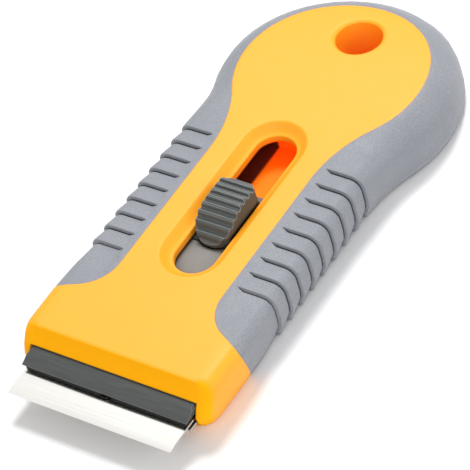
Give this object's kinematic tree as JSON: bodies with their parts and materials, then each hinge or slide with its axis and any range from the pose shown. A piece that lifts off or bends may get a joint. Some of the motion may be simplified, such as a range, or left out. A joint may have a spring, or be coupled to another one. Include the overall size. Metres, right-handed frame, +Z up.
{
  "type": "razor blade scraper",
  "caption": "Hand scraper with a hanging hole, ribbed soft grips and a wide razor blade that slides out of the mouth by a thumb button held by a sprung brake.",
  "frame": {"origin": "under the middle of the whole length, on the centre line, on the plane of the underside", "axes": "+X across the handle, +Y from the blade towards the round tail, +Z up out of the face with the thumb slot"},
  "size_m": [0.054, 0.123, 0.015],
  "materials": {
    "shell": "orange-yellow moulded plastic, fine satin sheen",
    "grip": "grey soft overmoulding, matte",
    "screws": "plated steel",
    "slide": "warm grey moulded plastic, matte",
    "jaw": "dark grey painted spring steel, satin",
    "strip": "black moulded plastic",
    "blade": "bright ground steel",
    "leaf": "bright spring steel",
    "rivets": "steel",
    "button": "dark grey moulded plastic, matte",
    "shoe": "black moulded plastic",
    "spring": "spring steel wire"
  },
  "bodies": {
    "housing": {"upper_shell": "shell", "lower_shell": "shell", "upper_grip": "grip", "lower_grip": "grip", "housing_screws": "screws"},
    "carriage": {"slide_plate": "slide", "upper_jaw": "jaw", "clamp_strip": "strip", "blade": "blade", "support_leaf": "leaf", "jaw_rivets": "rivets", "button_spring": "spring"},
    "button": {"thumb_button": "button", "brake_shoe": "shoe"}
  },
  "joints": [
    {"name": "blade_slide", "type": "slide", "parent": "housing", "child": "carriage", "axis": [0, -1, 0], "range_m": [-0.013, 0.008]},
    {"name": "button_press", "type": "slide", "parent": "carriage", "child": "button", "axis": [0, 0, -1], "range_m": [0, 0.0014], "stiffness_N_per_m": 600, "springref_m": -0.002, "deforming": ["button_spring"]}
  ]
}
